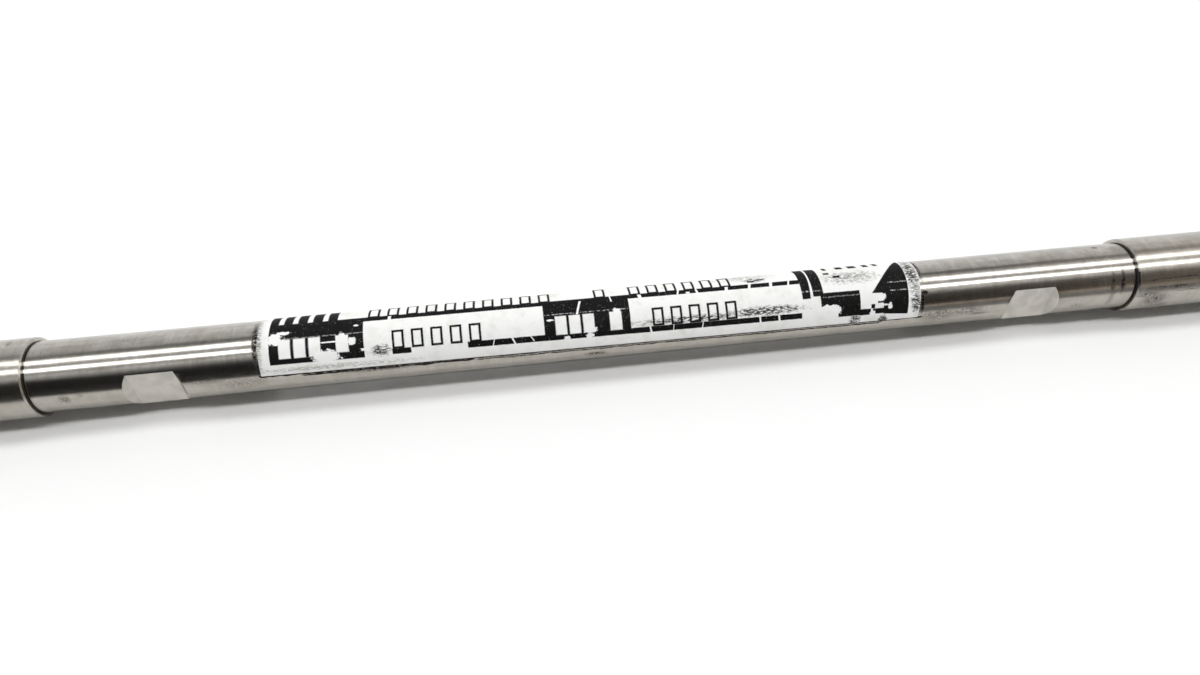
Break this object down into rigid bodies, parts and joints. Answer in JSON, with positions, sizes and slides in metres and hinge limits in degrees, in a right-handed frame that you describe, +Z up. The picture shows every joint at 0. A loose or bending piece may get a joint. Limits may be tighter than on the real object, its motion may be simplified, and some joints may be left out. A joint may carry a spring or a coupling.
{
  "type": "liquid chromatography column",
  "caption": "Slim steel tube with a packed bore, milled wrench flats, a wrapped paper label and a screwed end fitting with a coned port at each end.",
  "frame": {"origin": "middle of the bore, halfway between the tube's end faces", "axes": "+X along the bore from inlet to outlet, +Z up with the column lying on its two round fittings"},
  "size_m": [0.1788, 0.0088, 0.0088],
  "materials": {
    "tube_steel": "fine turned",
    "fitting_steel": "fine turned",
    "sintered_steel": "sintered matte",
    "seal_plastic": "matte",
    "packing": "powder",
    "label_paper": "worn gloss print"
  },
  "bodies": {
    "column": {"column_tube": "tube_steel", "packed_bed": "packing", "label": "label_paper"},
    "inlet_seal": {"inlet_frit": "sintered_steel", "inlet_frit_ring": "seal_plastic"},
    "inlet_cap": {"inlet_end_fitting": "fitting_steel"},
    "outlet_seal": {"outlet_frit": "sintered_steel", "outlet_frit_ring": "seal_plastic"},
    "outlet_cap": {"outlet_end_fitting": "fitting_steel"}
  },
  "joints": [
    {"name": "inlet_travel", "type": "slide", "parent": "column", "child": "inlet_seal", "axis": [-1, 0, 0], "range_m": [0, 0.0075]},
    {"name": "inlet_unscrew", "type": "hinge", "parent": "inlet_seal", "child": "inlet_cap", "pos_m": [-0.075, 0, 0], "axis": [-1, 0, 0], "range_deg": [0, 3600]},
    {"name": "outlet_travel", "type": "slide", "parent": "column", "child": "outlet_seal", "axis": [1, 0, 0], "range_m": [0, 0.0075]},
    {"name": "outlet_unscrew", "type": "hinge", "parent": "outlet_seal", "child": "outlet_cap", "pos_m": [0.075, 0, 0], "axis": [1, 0, 0], "range_deg": [0, 3600]}
  ],
  "couplings": [
    {"joint": "inlet_travel", "follows": "inlet_unscrew", "m_per_rad": 0.00011937},
    {"joint": "outlet_travel", "follows": "outlet_unscrew", "m_per_rad": 0.00011937}
  ]
}
